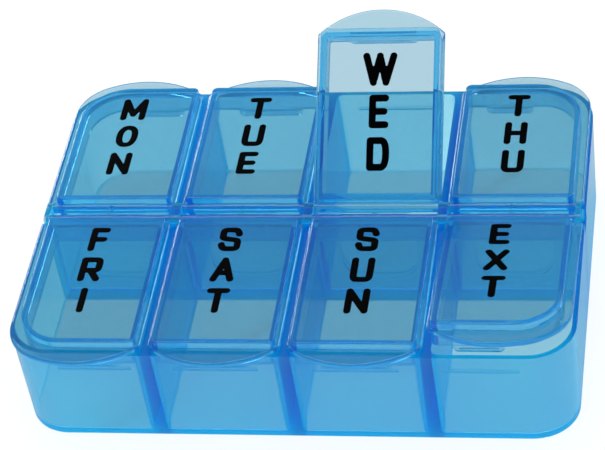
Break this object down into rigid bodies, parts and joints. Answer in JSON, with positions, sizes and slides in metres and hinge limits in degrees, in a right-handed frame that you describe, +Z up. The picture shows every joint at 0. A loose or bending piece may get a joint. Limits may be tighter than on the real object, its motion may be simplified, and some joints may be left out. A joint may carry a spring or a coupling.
{
  "type": "pill organizer",
  "caption": "Low clear tinted tray with two rows of square wells, each under its own flip lid hinged at the middle spine, with a curved thumb tab and a latch tongue.",
  "frame": {"origin": "centre of the tray's underside", "axes": "+X along the rows of four wells, +Y from the front row to the back row, +Z up out of the wells"},
  "size_m": [0.1138, 0.0882, 0.0494],
  "materials": {
    "tray_plastic": "clear tinted, moulded gloss",
    "lid_plastic": "clear tinted, moulded gloss",
    "label_ink": "screen-printed black ink"
  },
  "bodies": {
    "tray": {"tray": "tray_plastic"},
    "lid_monday": {"lid_monday": "lid_plastic"},
    "lid_tuesday": {"lid_tuesday": "lid_plastic"},
    "lid_wednesday": {"lid_wednesday": "lid_plastic"},
    "lid_thursday": {"lid_thursday": "lid_plastic"},
    "lid_friday": {"lid_friday": "lid_plastic"},
    "lid_saturday": {"lid_saturday": "lid_plastic"},
    "lid_sunday": {"lid_sunday": "lid_plastic"},
    "lid_extra": {"lid_extra": "lid_plastic"}
  },
  "joints": [
    {"name": "monday_hinge", "type": "hinge", "parent": "tray", "child": "lid_monday", "pos_m": [-0.042, 0.00175, 0.02405], "axis": [1, 0, 0], "range_deg": [0, 90]},
    {"name": "tuesday_hinge", "type": "hinge", "parent": "tray", "child": "lid_tuesday", "pos_m": [-0.014, 0.00175, 0.02405], "axis": [1, 0, 0], "range_deg": [0, 90]},
    {"name": "wednesday_hinge", "type": "hinge", "parent": "tray", "child": "lid_wednesday", "pos_m": [0.014, 0.00175, 0.02405], "axis": [1, 0, 0], "range_deg": [-37, 53]},
    {"name": "thursday_hinge", "type": "hinge", "parent": "tray", "child": "lid_thursday", "pos_m": [0.042, 0.00175, 0.02405], "axis": [1, 0, 0], "range_deg": [0, 90]},
    {"name": "friday_hinge", "type": "hinge", "parent": "tray", "child": "lid_friday", "pos_m": [-0.042, -0.00175, 0.02405], "axis": [-1, 0, 0], "range_deg": [0, 90]},
    {"name": "saturday_hinge", "type": "hinge", "parent": "tray", "child": "lid_saturday", "pos_m": [-0.014, -0.00175, 0.02405], "axis": [-1, 0, 0], "range_deg": [0, 90]},
    {"name": "sunday_hinge", "type": "hinge", "parent": "tray", "child": "lid_sunday", "pos_m": [0.014, -0.00175, 0.02405], "axis": [-1, 0, 0], "range_deg": [0, 90]},
    {"name": "extra_hinge", "type": "hinge", "parent": "tray", "child": "lid_extra", "pos_m": [0.042, -0.00175, 0.02405], "axis": [-1, 0, 0], "range_deg": [-8, 82]}
  ]
}
